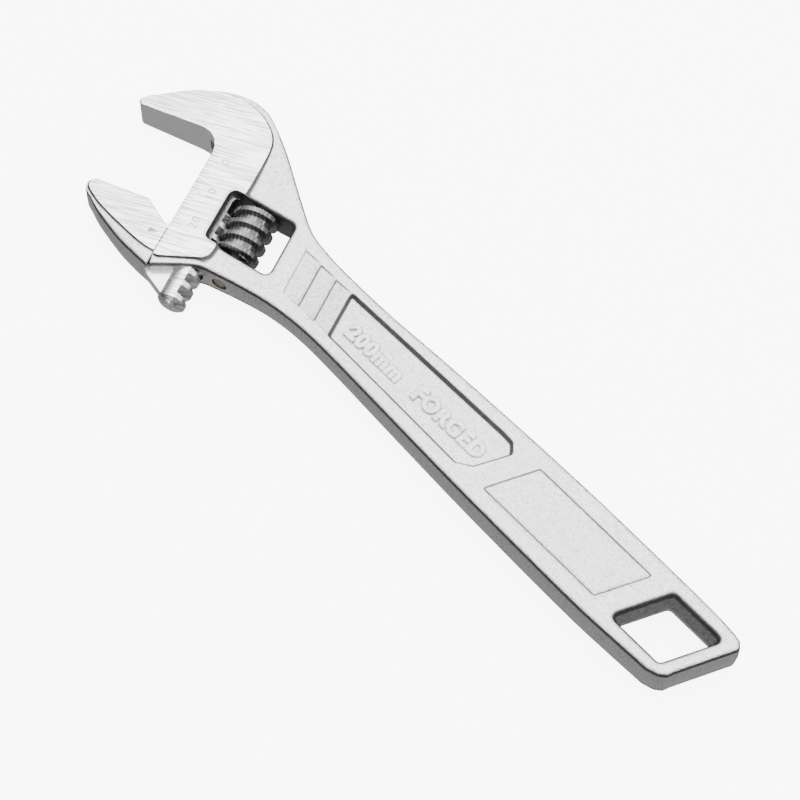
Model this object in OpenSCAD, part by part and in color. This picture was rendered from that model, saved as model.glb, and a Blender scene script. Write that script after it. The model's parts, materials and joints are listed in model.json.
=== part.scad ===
// Adjustable wrench, 200 mm class: forged handle with a fixed jaw, sliding jaw, knurled worm, pin and spring.
// Frame: +X runs along the handle to the hang-hole end, +Y to the fixed-jaw side, +Z up.
// The origin is on the handle's middle line, 5 mm behind the throat, on the ground back cheek.

/* [Overall] */
// Distance from the throat to the middle of the handle's end, along the handle
handle_len = 178.4; // [150:1:260]
// Thickness of the head over its two ground cheeks
head_t = 11.4; // [11.2:0.1:16]
// Angle of the jaws to the handle
head_angle = 22.5; // [15:0.5:30]
// Half width of the handle at its wide end
handle_half_w = 11.2; // [9.5:0.1:14]

/* [Jaws] */
// Gap between the two jaw faces in the modelled position
jaw_gap = 25; // [22:0.5:25]
// Reach of the fixed jaw from the throat to its tip
jaw_reach = 24.4; // [22:0.1:30]
// Loss of half thickness at the jaw tips
tip_taper = 1.2; // [0:0.1:1.6]
// Height of the ground cheeks over the forged faces
cheek_rise = 0.7; // [0.4:0.1:1.0]

/* [Slide] */
// Diameter of the sliding jaw's toothed foot
foot_d = 7.6; // [6.8:0.1:8.4]
// Radial running clearance of the foot in its bore
foot_clear = 0.05; // [0.02:0.01:0.1]
// Thickness of the web between the jaw and its foot
web_t = 4.0; // [3:0.1:4.8]
// Clearance on each side of the web
web_clear = 0.05; // [0.02:0.01:0.1]

/* [Worm] */
// Diameter over the worm's thread
worm_d = 12.2; // [11.4:0.1:12.4]
// Depth of the worm's thread
thread_depth = 1.7; // [1.3:0.1:1.9]
// Axial distance between two turns of the thread
lead = 3.9; // [3.4:0.1:4.2]
// Gap between the thread's flanks and the rack teeth, on each side
backlash = 0.12; // [0.06:0.02:0.3]
// Extra width of each rack gap, on the side towards the fixed jaw
slop = 0.5; // [0:0.1:0.6]
// Diameter of the pin the worm turns on
pin_d = 4.0; // [3:0.1:4.6]
// Radial running clearance of the worm on its pin
pin_clear = 0.05; // [0.02:0.01:0.1]
// Wire diameter of the worm's spring
wire_d = 0.7; // [0.4:0.05:0.8]

/* [Handle relief] */
// Depth of the long lettering recess
recess_depth = 1.3; // [0.5:0.1:2]
// Depth of each ramp at its deep end
ramp_depth = 0.75; // [0.3:0.05:1.2]
// Number of ramps between the head and the recess
ramp_count = 3; // [1:1:3]
// Depth of the shallow label panel
label_depth = 0.35; // [0.1:0.05:0.8]
// Half width of the hang hole at the faces
hole_half_w = 7.4; // [5:0.1:8.5]
// Length of the hang hole across its two slanted ends
hole_len = 14.6; // [8:0.1:16]

/* [Hidden] */
$fn = 96;
origin_x = 5;                         // from the throat to the frame's origin
zm = head_t / 2;                      // middle plane
body_h = zm - cheek_rise;             // half thickness of the forged head
face_f = -13.5;                       // fixed jaw face, along the slide
face_m = face_f + jaw_gap;            // sliding jaw face
tip_u = -jaw_reach;
foot_r = foot_d / 2;
worm_u = 17.4;                        // worm axis, from the throat
worm_r = worm_d / 2;
root_r = worm_r - thread_depth;
worm_v0 = 1.6;
worm_v1 = 15.8;
crest_v = 6.1;                        // middle of a thread crest on the side away from the rack
tooth_u = worm_u - root_r - 0.2;      // the rack teeth reach this far
gap_u = worm_u - worm_r - 1.3;        // floor of the rack's gaps
foot_u = tooth_u - foot_r;            // foot and bore axis
bore_r = foot_r + foot_clear;
foot_end = face_m + 22.7;
foot_top = face_m - 6.1;
pocket_r = pin_d / 2 + 1.35;          // spring pocket in the worm
pocket_v = worm_v0 + 5;
spring_v0 = 1.3;
coils = 4;
c_h = cos(head_angle);
s_h = sin(head_angle);
sx = (handle_len - 60) / 118.4;       // stretch of everything behind the recess start

// head frame (u away from the throat to the handle, v the opening direction) to part frame
function xy(p) = [p[0] * c_h + p[1] * s_h, p[0] * s_h - p[1] * c_h];
function uv(ps) = [for (p = ps) xy(p)];
// distance along the handle, stretched behind x = 60
function lx(x) = x < 60 ? x : 60 + (x - 60) * sx;
function hw(x, y) = [lx(x), y * (x < 70 ? 1 : 1 + (handle_half_w / 11.2 - 1) * min(1, (x - 70) / 60))];
// smooth open curve through points
function cr(a, b, c, d, t) = 0.5 * ((2 * b) + (c - a) * t + (2 * a - 5 * b + 4 * c - d) * t * t
    + (3 * b - a - 3 * c + d) * t * t * t);
function curve(p, n = 5) = [for (i = [0 : len(p) - 2]) for (k = [0 : n - 1])
    cr(p[max(i - 1, 0)], p[i], p[i + 1], p[min(i + 2, len(p) - 1)], k / n)];
function arc(c, r, a0, a1, n = 8) = [for (k = [0 : n]) c + r * [cos(a0 + (a1 - a0) * k / n),
    sin(a0 + (a1 - a0) * k / n)]];
// slanted cross line of the handle, at distance w along the mirrored normal, for side offset y
function cross_x(w, y) = lx((w + y * 0.3827) / 0.9239);

module placed() translate([-origin_x, 0, 0]) children();
module head_frame() multmatrix([[c_h, s_h, 0, 0], [s_h, -c_h, 0, 0], [0, 0, 1, 0], [0, 0, 0, 1]]) children();
// along the slide: local X = u, local Y = z, extruded along +v from v0 to v1
module along_v(v0, v1) multmatrix([[c_h, 0, s_h, s_h * v0], [s_h, 0, -c_h, -c_h * v0], [0, 1, 0, 0],
    [0, 0, 0, 1]]) linear_extrude(v1 - v0) children();
module rod_v(u, v0, v1, r0, r1) multmatrix([[c_h, 0, s_h, u * c_h + v0 * s_h],
    [s_h, 0, -c_h, u * s_h - v0 * c_h], [0, 1, 0, zm], [0, 0, 0, 1]])
    cylinder(h = v1 - v0, r1 = r0, r2 = r1);
module slab(z0, z1) translate([0, 0, z0]) linear_extrude(z1 - z0) children();

// ---- outlines -------------------------------------------------------------------------------
fixed_outer = uv([[tip_u - 0.4, -14.9], [tip_u + 1.2, -16.9], [-20.5, -18.6], [-16, -21.6], [-11.2, -24.2],
    [-4.6, -26.3], [1.3, -26.9], [5.4, -26.0], [9.4, -23.6], [16.8, -16.4], [26.4, -5.2]]);
top_edge = concat(fixed_outer, [hw(31, 10.95), hw(38, 9.75), hw(48, 9.3), hw(62, 9.3), hw(80, 10.2),
    hw(105, 11.1), hw(130, 11.6), hw(152, 11.6), hw(170, 11.4), hw(178.5, 10.9)]);
low_edge = [hw(170.5, -10.7), hw(160, -11.2), hw(148, -11.6), hw(128, -11.5), hw(105, -11.1), hw(80, -10.3),
    hw(62, -9.7), hw(49.5, -9.7), hw(39.3, -10.9), hw(30.6, -13.2), hw(24, -15.4), [20, -17.0], [16.2, -20.4]];
function body_outline() = concat(
    [xy([-6.2, face_f]), xy([tip_u + 0.9, face_f]), xy([tip_u + 0.1, face_f - 0.5])],
    curve(top_edge),
    [hw(178.5, 10.9), [lx(180.6), 10.4], [lx(181.7), 9.3], [lx(181.8), 8.2]],
    [[cross_x(164.9, -6.6), -6.6], [cross_x(164.9, -8.0) + 0.1, -8.3], [cross_x(164.9, -9.2) - 1.2, -9.8]],
    curve(low_edge),
    [[16.2, -20.4], xy([0.5, 28.2]), xy([0, 27.7]), xy([0, -7.5]), xy([-0.4, -9.4]), xy([-1.2, -11.0]),
     xy([-2.5, -12.4]), xy([-4.2, -13.2])]);
// ground cheek of the head, fixed side
function cheek_outline() = concat(
    [xy([-6.2, face_f]), xy([tip_u + 0.9, face_f]), xy([tip_u + 0.2, face_f - 0.5])],
    curve(uv([[tip_u - 0.1, -14.9], [tip_u + 1.4, -16.6], [-20.4, -18.2], [-16, -21.2], [-11.2, -23.7],
        [-4.4, -25.2], [1.0, -25.0], [5.4, -23.6], [9.0, -21.2], [11.6, -18.4], [12.9, -15.0], [13.2, -11]])),
    uv([[13.2, -11], [13.2, 18.2], [12.8, 20], [11.8, 21.2], [1.4, 25.4], [0.4, 25.4], [0, 24.8], [0, -7.5],
        [-0.4, -9.4], [-1.2, -11.0], [-2.5, -12.4], [-4.2, -13.2]]));
heel_u = -0.08;
function jaw_outline() = concat(
    uv([[heel_u, face_m + 5.6], [-2.1, face_m + 4.2], [-8.2, face_m], [tip_u + 0.8, face_m]]),
    curve(uv([[tip_u + 0.8, face_m], [tip_u - 0.6, face_m + 0.9], [tip_u - 0.7, face_m + 2.4],
        [tip_u, face_m + 3.8], [-22.3, face_m + 5.4], [-18.3, face_m + 8.5], [-10.9, face_m + 12.8],
        [-5.5, face_m + 15.2], [heel_u, face_m + 17.2]])),
    [xy([heel_u, face_m + 17.2])]);
function jaw_cheek() = concat(
    uv([[heel_u, face_m + 5.6], [-2.1, face_m + 4.2], [-8.2, face_m], [tip_u + 0.9, face_m]]),
    curve(uv([[tip_u + 0.9, face_m], [tip_u + 0.2, face_m + 1.0], [tip_u + 0.2, face_m + 2.2],
        [tip_u + 1.2, face_m + 3.4], [-18.9, face_m + 6.2], [-11.5, face_m + 9.5], [-4.4, face_m + 12.2],
        [heel_u, face_m + 13.0]])),
    [xy([heel_u, face_m + 13.0])]);
// worm window at the faces, corners rounded
wa = [9.2, -0.3];
wb = [28.5, 1.95];
wc = [28.5, 18.3];
wd = [9.2, 15.6];
function window() = uv(concat(arc(wa + [2.2, 2.3], 2.0, 180, 277), arc(wb + [-1.6, 1.5], 1.5, 277, 360),
    arc(wc + [-1.6, -1.8], 1.5, 0, 98), arc(wd + [1.8, -1.4], 1.6, 98, 180)));

// ---- profiles -------------------------------------------------------------------------------
// half thickness of the forging along the handle
side = curve([[-45, body_h], [-10, body_h], [12, body_h], [26, body_h - 0.5], [42, body_h - 0.95],
    [60, body_h - 0.55], [90, body_h - 0.15], [125, body_h + 0.25], [150, body_h + 0.35],
    [185, body_h + 0.4]], 4);
module side_profile() rotate([90, 0, 0]) translate([0, 0, -60]) linear_extrude(120)
    polygon(concat([for (p = side) [lx(p[0]), zm + p[1]]], [[lx(190), zm + body_h + 0.4],
    [lx(190), zm - body_h - 0.4]], [for (i = [len(side) - 1 : -1 : 0]) [lx(side[i][0]), zm - side[i][1]]]));
// taper of the jaws, for a half thickness h at the throat
module jaw_profile(h) along_v(-80, 90) polygon([[260, zm - body_h - 2], [260, zm + body_h + 2],
    [24, zm + body_h + 2], [19, zm + h], [-5, zm + h], [tip_u - 1, zm + h - tip_taper],
    [tip_u - 1, zm - h + tip_taper], [-5, zm - h], [19, zm - h], [24, zm - body_h - 2]]);

// ---- handle and fixed jaw -------------------------------------------------------------------
rx0 = 33.8;                           // first ramp, from the throat
rp = 5.25;                            // ramp pitch
ramp_z = body_h - 0.95;               // forged half thickness at the ramps
module ramps() for (s = [-1, 1]) intersection() {
    slab(-5, head_t + 5) polygon([[30, 6.0], [62, 6.3], [62, -6.2], [30, -5.9]]);
    for (i = [3 - ramp_count : 2]) along_v(-60, 60) let (a = rx0 + i * rp) polygon([
        [a, zm + s * (ramp_z - ramp_depth)], [a - 0.4, zm + s * (ramp_z + 1.5)],
        [a + rp + 0.01, zm + s * (ramp_z + 1.5)], [a + rp + 0.01, zm + s * (ramp_z - 0.15)]]);
}
function recess_outline() = concat([[50.8, 6.3]], [[lx(104.5), 7.2 * handle_half_w / 11.2]],
    [[lx(107.9), 7.0], [lx(109.9), 5.6], [lx(110.3), 4.2]],
    [[cross_x(99.9, -4.6), -4.6], [cross_x(99.9, -6.2) - 0.4, -6.3], [lx(102.4), -7.1]], [[55.9, -6.2]]);
module recess() for (s = [-1, 1]) slab(s > 0 ? zm + body_h - 0.5 - recess_depth : -5,
    s > 0 ? head_t + 5 : zm - body_h + 0.5 + recess_depth) polygon(recess_outline());
module label() for (s = [-1, 1]) slab(s > 0 ? zm + body_h + 0.24 - label_depth : -5,
    s > 0 ? head_t + 5 : zm - body_h - 0.24 + label_depth) polygon([[cross_x(106.1, -6.8), -6.8],
    [cross_x(106.1, 6.8), 6.8], [cross_x(140.85, 6.8), 6.8], [cross_x(140.85, -6.8), -6.8]]);
// hang hole: slanted ends, walls drafted to the parting plane
module hole_at(i) polygon([[cross_x(146.8 + i, -hole_half_w), -hole_half_w + i],
    [cross_x(146.8 + i, hole_half_w), hole_half_w - i],
    [cross_x(146.8 + hole_len - i, hole_half_w), hole_half_w - i],
    [cross_x(146.8 + hole_len - i, -hole_half_w), -hole_half_w + i]]);
module hang_hole() {
    slab(-5, head_t + 5) hole_at(1.1);
    for (s = [-1, 1]) slab(s > 0 ? zm + 2.2 : -5, s > 0 ? head_t + 5 : zm - 2.2) hole_at(0.6);
    for (s = [-1, 1]) slab(s > 0 ? zm + 4.0 : -5, s > 0 ? head_t + 5 : zm - 4.0) hole_at(0.1);
}
module window_cut() intersection() {
    slab(-5, head_t + 5) polygon(window());
    along_v(-5, 25) polygon([[9.2, zm + 8], [9.4, zm + 5.7], [11.65, zm + 2.5], [11.65, zm - 2.5],
        [9.4, zm - 5.7], [9.2, zm - 8], [28.6, zm - 8], [28.4, zm - 5], [27.6, zm], [28.4, zm + 5],
        [28.6, zm + 8]]);
}
module slide_cut() {
    rod_v(foot_u, foot_top - 24.0, 45, bore_r, bore_r);
    rod_v(foot_u, foot_top - 25.1, foot_top - 24.0, bore_r - 1.1, bore_r);
    along_v(face_f + 0.6, 45) translate([-4, zm - web_t / 2 - web_clear])
        square([foot_u + 4, web_t + 2 * web_clear]);
}
module handle_body() color([0.80, 0.81, 0.80]) placed() difference() {
    union() {
        intersection() {
            slab(-2, head_t + 2) polygon(body_outline());
            side_profile();
            jaw_profile(body_h);
        }
        intersection() {
            slab(-2, head_t + 2) polygon(cheek_outline());
            jaw_profile(zm);
        }
    }
    window_cut();
    slide_cut();
    rod_v(worm_u, -7, 40, pin_d / 2 + 0.02, pin_d / 2 + 0.02);
    ramps();
    recess();
    label();
    hang_hole();
}

// ---- sliding jaw ----------------------------------------------------------------------------
tip_w = lead / 2 - 0.55 - backlash;   // rack tooth width at its tip
gap_w = (lead - tip_w) / 2;           // half width of a rack gap
module rack_gaps() along_gap() polygon([[gap_u, -gap_w + 0.5 - slop],
    [tooth_u - thread_depth, -gap_w + 0.5 - slop], [tooth_u + 1, -gap_w - 0.15 - slop],
    [tooth_u + 1, gap_w + 0.15], [tooth_u - thread_depth, gap_w - 0.5], [gap_u, gap_w - 0.5]]);
// one gap for each worm turn along the foot, leaning as the thread does
module along_gap() for (k = [0 : ceil((foot_end - crest_v) / lead)])
    let (v = crest_v + lead / 2 + k * lead) if (v < foot_end + gap_w + slop) head_frame()
        translate([0, v, zm]) rotate([atan(lead / (2 * PI * (worm_r - thread_depth / 2))), 0, 0])
        translate([0, 0, -6]) linear_extrude(12) children();
module movable_jaw() color([0.78, 0.79, 0.78]) placed() {
    intersection() {
        slab(-2, head_t + 2) polygon(jaw_outline());
        jaw_profile(body_h);
    }
    intersection() {
        slab(-2, head_t + 2) polygon(jaw_cheek());
        jaw_profile(zm);
    }
    head_frame() slab(zm - web_t / 2, zm + web_t / 2)
        polygon([[-5, face_m + 7], [-4.5, face_m + 3.9], [0.2, face_m + 1.7], [foot_u - 3, face_m + 1.7],
        [foot_u - 3, face_m + 21.3], [0.3, face_m + 18.1], [-3, face_m + 15]]);
    difference() {
        union() {
            rod_v(foot_u, foot_top + 1.2, foot_end, foot_r, foot_r);
            rod_v(foot_u, foot_top, foot_top + 1.2, foot_r - 1.2, foot_r - 0.1);
        }
        rack_gaps();
    }
}

// ---- worm -----------------------------------------------------------------------------------
// section across the axis: radius falls from crest to root and back once a turn
function thread_r(a) = let (t = abs(((a + 540) % 360) - 180) / 180, w = (lead - tip_w) / lead)
    t < 0.30 ? worm_r : t > 0.62 ? root_r : worm_r - thread_depth * (t - 0.30) / 0.32;
module worm() color([0.55, 0.56, 0.57]) placed() difference() {
    multmatrix([[c_h, 0, s_h, worm_u * c_h + worm_v0 * s_h], [s_h, 0, -c_h, worm_u * s_h - worm_v0 * c_h],
        [0, 1, 0, zm], [0, 0, 0, 1]])
        rotate([0, 0, (worm_v0 - crest_v) * 360 / lead])
        linear_extrude(worm_v1 - worm_v0, twist = -(worm_v1 - worm_v0) * 360 / lead, slices = 56)
        polygon([for (a = [0 : 10 : 359]) thread_r(a) * [cos(a), sin(a)]]);
    rod_v(worm_u, worm_v0 - 1, worm_v1 + 1, pin_d / 2 + pin_clear, pin_d / 2 + pin_clear);
    rod_v(worm_u, worm_v0 - 1, pocket_v, pocket_r, pocket_r);
}
module worm_pin() color([0.72, 0.66, 0.55]) placed() rod_v(worm_u, -6.9, 23.2, pin_d / 2, pin_d / 2);
// compression spring round the pin, in the worm's pocket
spring_r = pin_d / 2 + 0.2 + wire_d / 2 + 0.1;
module worm_spring() color([0.6, 0.6, 0.6]) placed() {
    n = coils * 24;
    m = 8;
    rise = (pocket_v - 0.05 - spring_v0 - wire_d) / n;
    pts = [for (i = [0 : n]) for (j = [0 : m - 1]) let (a = i * 15, b = j * 360 / m,
        r = spring_r + wire_d / 2 * cos(b), v = spring_v0 + wire_d / 2 + i * rise + wire_d / 2 * sin(b),
        q = xy([worm_u + r * cos(a), v])) [q[0], q[1], zm + r * sin(a)]];
    polyhedron(pts, concat([[for (j = [m - 1 : -1 : 0]) j]], [for (i = [0 : n - 1]) for (j = [0 : m - 1])
        let (k = (j + 1) % m) [i * m + j, i * m + k, (i + 1) * m + k, (i + 1) * m + j]],
        [[for (j = [0 : m - 1]) n * m + j]]));
}

handle_body();
movable_jaw();
worm();
worm_pin();
worm_spring();
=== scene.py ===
"""Adjustable wrench, 200 mm class: the finished look of the handle, sliding jaw, worm, pin and spring.

The shapes are worked in millimetres from the throat, the point where the two jaws' faces begin. A handle
place is (along, across) and a head place is (u, v): u runs from the jaw tips to the handle, v down the slide.
"""
import json
import math
import bpy
import numpy as np
from mathutils import Matrix, Vector, kdtree, noise
from mathutils.geometry import delaunay_2d_cdt


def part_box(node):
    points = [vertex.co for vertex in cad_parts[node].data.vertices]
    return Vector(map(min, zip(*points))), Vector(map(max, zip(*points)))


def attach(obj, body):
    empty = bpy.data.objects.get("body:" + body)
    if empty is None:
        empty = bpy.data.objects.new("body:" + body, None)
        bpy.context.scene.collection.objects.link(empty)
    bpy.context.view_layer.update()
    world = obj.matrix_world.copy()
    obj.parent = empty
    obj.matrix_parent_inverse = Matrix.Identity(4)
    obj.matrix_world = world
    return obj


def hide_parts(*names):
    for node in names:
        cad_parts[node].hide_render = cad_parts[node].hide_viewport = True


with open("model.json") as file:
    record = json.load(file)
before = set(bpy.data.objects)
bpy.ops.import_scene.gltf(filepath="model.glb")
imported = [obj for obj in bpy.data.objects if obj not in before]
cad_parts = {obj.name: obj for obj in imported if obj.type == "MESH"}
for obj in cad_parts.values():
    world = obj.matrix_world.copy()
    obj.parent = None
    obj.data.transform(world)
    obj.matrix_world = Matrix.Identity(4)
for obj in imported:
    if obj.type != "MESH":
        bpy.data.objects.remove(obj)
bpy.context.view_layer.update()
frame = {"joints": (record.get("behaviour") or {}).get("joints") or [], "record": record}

# ---- sizes --------------------------------------------------------------------------------------
MM = 0.001
JOINTS = {joint["name"]: joint for joint in frame["joints"]}
MOUNTS = {mount["name"]: mount for mount in frame["record"]["mounts"]}
SIN_HEAD, COS_HEAD = JOINTS["worm_spin"]["axis"][0], -JOINTS["worm_spin"]["axis"][1]
OUT = Vector((COS_HEAD, SIN_HEAD, 0))           # direction of u
DOWN = Vector((SIN_HEAD, -COS_HEAD, 0))         # direction of v
UP = Vector((0, 0, 1))
HEAD_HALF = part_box("handle_body")[1].z / MM / 2  # half thickness over the ground cheeks, and the middle plane
FACE_FIXED = -13.5                              # v of the fixed jaw's face
FACE_MOUNT_U = -12.0                            # u of that face's mount
FACE_SLIDING = 11.5                             # v of the sliding jaw's face
THROAT = Vector(MOUNTS["fixed_jaw_face"]["pos_m"]) / MM - OUT * FACE_MOUNT_U - DOWN * FACE_FIXED
TIP_U = -24.4
CHEEK_RISE = 0.7
BODY_HALF = HEAD_HALF - CHEEK_RISE
TIP_TAPER = 1.2
TAPER_START = -5.0
FOOT_U, FOOT_R, FOOT_TOP, FOOT_END = 9.0, 3.8, 5.4, 34.2
BORE_R, BORE_TOP = 3.85, -19.7
WEB_T, WEB_CLEAR, WEB_SLOT_TOP = 4.0, 0.05, -12.9
WORM_U, WORM_R, WORM_TOP, WORM_BOTTOM = 17.4, 6.1, 1.6, 15.8
THREAD_DEPTH, LEAD, CREST_V = 1.7, 3.9, 6.1
RACK_DEPTH, SLOP = 1.3, 0.5                    # rack floor below the worm's crests, extra width of its gaps
PIN_R, PIN_CLEAR = 2.0, 0.05
PIN_TOP, PIN_BOTTOM = -6.9, 23.2
CUT_END = 45                                    # v past the body, where the slide's cuts stop
PIN_HOLE_TOP, PIN_HOLE_END, PIN_HOLE_R = -7, 40, PIN_R + 0.12
PIN_CHAMFER = 0.25
POCKET_R, POCKET_DEPTH = 3.35, 5.0
WIRE_R, COILS, SPRING_TOP = 0.35, 4, 1.3
RECESS_DEPTH, LABEL_DEPTH = 1.3, 0.35
RAMP_U, RAMP_PITCH, RAMP_DEPTH, RAMP_SHALLOW, RAMP_COUNT = 33.8, 5.25, 0.75, 0.15, 3
HOLE_NEAR, HOLE_LONG, HOLE_HALF_W = 146.8, 14.6, 7.4
FORGED_ROUND, GROUND_ROUND = 0.9, 0.16          # edge radii of forged and ground edges
SPACING = 0.6
FLOOR_SHADE = 0.12                              # painted shade on the floors of the recess and the ramps


# ---- outlines -----------------------------------------------------------------------------------
def from_head(places):
    """Head places as handle places."""
    u, v = np.asarray(places, float).T
    return np.column_stack((u * COS_HEAD + v * SIN_HEAD, u * SIN_HEAD - v * COS_HEAD))


def to_head(places):
    """Handle places as head places; the same turn undoes itself."""
    return from_head(places)


def curve(points, steps=8):
    """A smooth line through the points, up to but without the last one."""
    p = np.asarray(points, float)
    p = np.vstack((p[:1], p, p[-1:]))
    t = np.arange(steps)[:, None] / steps
    return np.vstack([
        0.5 * (2 * b + (c - a) * t + (2 * a - 5 * b + 4 * c - d) * t**2 + (3 * b - a - 3 * c + d) * t**3)
        for a, b, c, d in zip(p, p[1:], p[2:], p[3:])
    ])


def arc(centre, radius, start, end, steps=6):
    """Points on an arc, with its ends in degrees."""
    a = np.radians(np.linspace(start, end, steps + 1))
    return np.column_stack((centre[0] + radius * np.cos(a), centre[1] + radius * np.sin(a)))


def clockwise(loop):
    x, y = loop.T
    return (x * np.roll(y, -1) - np.roll(x, -1) * y).sum() < 0


def even(loop, spacing=SPACING, corner=25):
    """The closed outline, counter-clockwise, with points a spacing apart and its sharp corners kept."""
    loop = np.asarray(loop, float)
    loop = loop[np.linalg.norm(loop - np.roll(loop, 1, 0), axis=1) > 1e-3]
    if clockwise(loop):
        loop = loop[::-1]
    into, out = loop - np.roll(loop, 1, 0), np.roll(loop, -1, 0) - loop
    turn = np.arctan2(into[:, 0] * out[:, 1] - into[:, 1] * out[:, 0], (into * out).sum(1))
    corners = np.flatnonzero(abs(turn) > math.radians(corner))
    loop = np.roll(loop, -corners[0], 0) if len(corners) else loop
    stops = [*(corners - corners[0]), len(loop)] if len(corners) else [0, len(loop)]
    loop = np.vstack((loop, loop[:1]))
    pieces = []
    for first, last in zip(stops, stops[1:]):
        run = loop[first : last + 1]
        reach = np.r_[0, np.cumsum(np.linalg.norm(np.diff(run, axis=0), axis=1))]
        at = np.linspace(0, reach[-1], max(1, round(reach[-1] / spacing)) + 1)[:-1]
        pieces.append(np.column_stack([np.interp(at, reach, run[:, k]) for k in (0, 1)]))
    return np.vstack(pieces)


def inward(loop):
    """At each point of a counter-clockwise outline, the way in, lengthened at corners."""
    edge = np.roll(loop, -1, 0) - loop
    left = np.column_stack((-edge[:, 1], edge[:, 0])) / np.linalg.norm(edge, axis=1)[:, None]
    way = left + np.roll(left, 1, 0)
    way /= np.linalg.norm(way, axis=1)[:, None]
    return way / np.maximum((way * left).sum(1), 0.6)[:, None]


def depth_inside(places, loop, batch=2000):
    """Distance from each place to a closed outline, positive inside it."""
    edge = np.roll(loop, -1, 0) - loop
    safe = np.where(abs(edge[:, 1]) < 1e-12, 1e-12, edge[:, 1])
    depth = np.empty(len(places))
    for start in range(0, len(places), batch):
        p = places[start : start + batch, None] - loop
        t = np.clip((p * edge).sum(2) / (edge**2).sum(1), 0, 1)
        near = np.sqrt(((p - t[..., None] * edge) ** 2).sum(2).min(1))
        crosses = (p[..., 1] < 0) != (p[..., 1] - edge[:, 1] < 0)
        odd = (crosses & (p[..., 0] < edge[:, 0] * p[..., 1] / safe)).sum(1) % 2
        depth[start : start + batch] = near * (2 * odd - 1)
    return depth


def cross_line(distance, across):
    """Where a slanted line across the handle, square to the slide's mirror, passes a place across it."""
    return (distance + across * SIN_HEAD) / COS_HEAD


def slanted(near, far, half):
    """A four-sided panel with slanted ends, between two distances."""
    return [(cross_line(d, s * half), s * half) for d, s in ((near, -1), (far, -1), (far, 1), (near, 1))]


def softened(corners, radius, steps=5):
    """A closed outline with each corner rounded."""
    c = np.asarray(corners, float)
    out = []
    for before, here, after in zip(np.roll(c, 1, 0), c, np.roll(c, -1, 0)):
        a, b = (before - here), (after - here)
        a, b = a / np.linalg.norm(a), b / np.linalg.norm(b)
        reach = radius / math.tan(math.acos(np.clip(a @ b, -1, 1)) / 2)
        t = np.linspace(0, 1, steps + 1)[:, None]
        p, q = here + a * reach, here + b * reach
        out.append((1 - t) ** 2 * p + 2 * t * (1 - t) * here + t**2 * q)
    return np.vstack(out)


JAW_ROOT = [(0, -7.5), (-0.4, -9.4), (-1.2, -11.0), (-2.5, -12.4), (-4.2, -13.2), (-6.2, FACE_FIXED)]
TOP_EDGE = np.vstack((
    from_head([(TIP_U - 0.4, -14.9), (TIP_U + 1.2, -16.9), (-20.5, -18.6), (-16, -21.6), (-11.2, -24.2),
               (-4.6, -26.3), (1.3, -26.9), (5.4, -26.0), (9.4, -23.6), (16.8, -16.4), (26.4, -5.2)]),
    [(31, 10.95), (38, 9.75), (48, 9.3), (62, 9.3), (80, 10.2), (105, 11.1), (130, 11.6), (152, 11.6),
     (170, 11.4), (178.5, 10.9)],
))
LOW_EDGE = [(170.5, -10.7), (160, -11.2), (148, -11.6), (128, -11.5), (105, -11.1), (80, -10.3), (62, -9.7),
            (49.5, -9.7), (39.3, -10.9), (30.6, -13.2), (24, -15.4), (20, -17.0), (16.2, -20.4)]
END_W = 164.9                                   # distance of the handle's slanted end
HANDLE_OUTLINE = even(np.vstack((
    from_head([(-6.2, FACE_FIXED), (TIP_U + 0.9, FACE_FIXED), (TIP_U + 0.1, FACE_FIXED - 0.5)]),
    curve(TOP_EDGE),
    [(178.5, 10.9), (180.6, 10.4), (181.7, 9.3), (181.8, 8.2), (cross_line(END_W, -6.6), -6.6),
     (cross_line(END_W, -8.0) + 0.1, -8.3), (cross_line(END_W, -9.2) - 1.2, -9.8)],
    curve(LOW_EDGE),
    [(16.2, -20.4)],
    from_head([(0.5, 28.2), (0, 27.7)]),
    from_head(curve(JAW_ROOT)),
)))
HANDLE_CHEEK = even(np.vstack((
    from_head([(-6.2, FACE_FIXED), (TIP_U + 0.9, FACE_FIXED), (TIP_U + 0.2, FACE_FIXED - 0.5)]),
    from_head(curve([(TIP_U - 0.1, -14.9), (TIP_U + 1.4, -16.6), (-20.4, -18.2), (-16, -21.2), (-11.2, -23.7),
                     (-4.4, -25.2), (1.0, -25.0), (5.4, -23.6), (9.0, -21.2), (11.6, -18.4), (12.9, -15.0),
                     (13.2, -11)])),
    from_head([(13.2, -11), (13.2, 18.2), (12.8, 20), (11.8, 21.2), (1.4, 25.4), (0.4, 25.4), (0, 24.8)]),
    from_head(curve(JAW_ROOT)),
)), 0.45)
HEEL_U = -0.08


def off_face(*places):
    """Head places from ones whose v is counted from the sliding jaw's face."""
    return [(u, FACE_SLIDING + v) for u, v in places]


JAW_HOOK = from_head(off_face((HEEL_U, 5.6), (-2.1, 4.2), (-8.2, 0)))
JAW_OUTLINE = even(np.vstack((
    JAW_HOOK,
    from_head(curve(off_face((TIP_U + 0.8, 0), (TIP_U - 0.6, 0.9), (TIP_U - 0.7, 2.4), (TIP_U, 3.8),
                             (-22.3, 5.4), (-18.3, 8.5), (-10.9, 12.8), (-5.5, 15.2), (HEEL_U, 17.2)))),
    from_head(off_face((HEEL_U, 17.2))),
)), 0.5)
JAW_CHEEK = even(np.vstack((
    JAW_HOOK,
    from_head(curve(off_face((TIP_U + 0.9, 0), (TIP_U + 0.2, 1.0), (TIP_U + 0.2, 2.2), (TIP_U + 1.2, 3.4),
                             (-18.9, 6.2), (-11.5, 9.5), (-4.4, 12.2), (HEEL_U, 13.0)))),
    from_head(off_face((HEEL_U, 13.0))),
)), 0.45)
WINDOW_U = (9.2, 28.5)
WINDOW = even(from_head(np.vstack((
    arc((11.4, 2.0), 2.0, 180, 277), arc((26.9, 3.45), 1.5, 277, 360), arc((26.9, 16.5), 1.5, 0, 98),
    arc((11.0, 14.2), 1.6, 98, 180)))), 0.5)
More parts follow.
